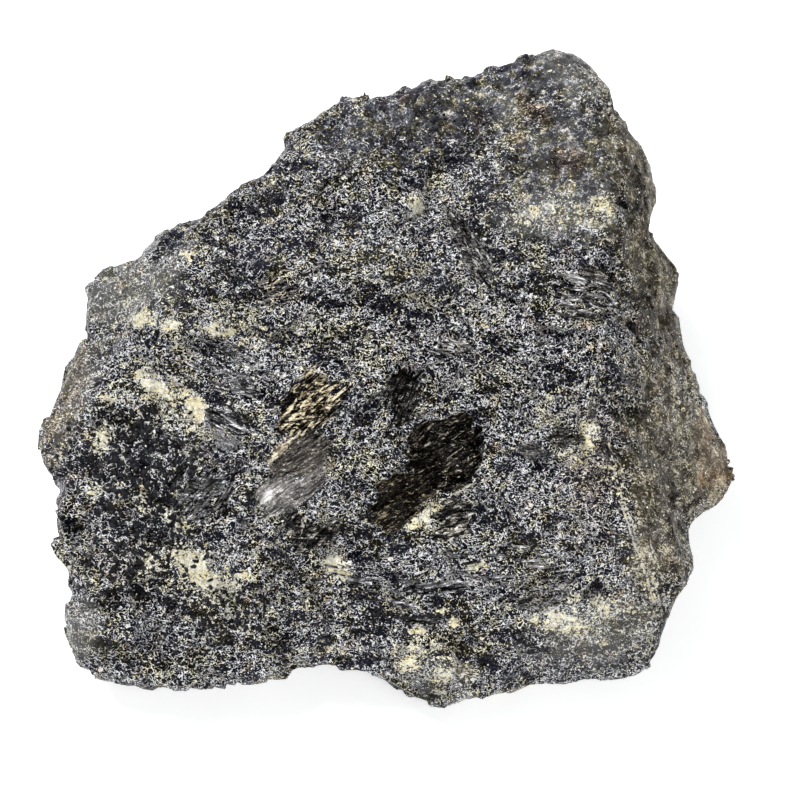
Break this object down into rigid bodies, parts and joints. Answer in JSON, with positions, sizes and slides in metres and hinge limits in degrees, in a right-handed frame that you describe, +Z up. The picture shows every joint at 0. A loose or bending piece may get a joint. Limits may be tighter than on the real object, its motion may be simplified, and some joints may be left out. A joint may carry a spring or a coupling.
{
  "type": "hornblende rock specimen",
  "caption": "Angular hand specimen of dark, coarse-grained amphibole rock with a broad sloping broken face, bladed crystals and pale feldspar specks.",
  "frame": {"origin": "middle of the bounding box's base, on the surface that the stone rests on", "axes": "+X along the stone's width, +Z up, -Y towards the low edge that the broad broken face slopes down to"},
  "size_m": [0.089, 0.0802, 0.0364],
  "materials": {
    "amphibole_rock": "rough broken surface with dark glossy cleavages",
    "hornblende_crystal": "glossy black cleavage blades",
    "feldspar": "dull cream grains"
  },
  "bodies": {
    "root": {"stone": "amphibole_rock"}
  },
  "joints": []
}
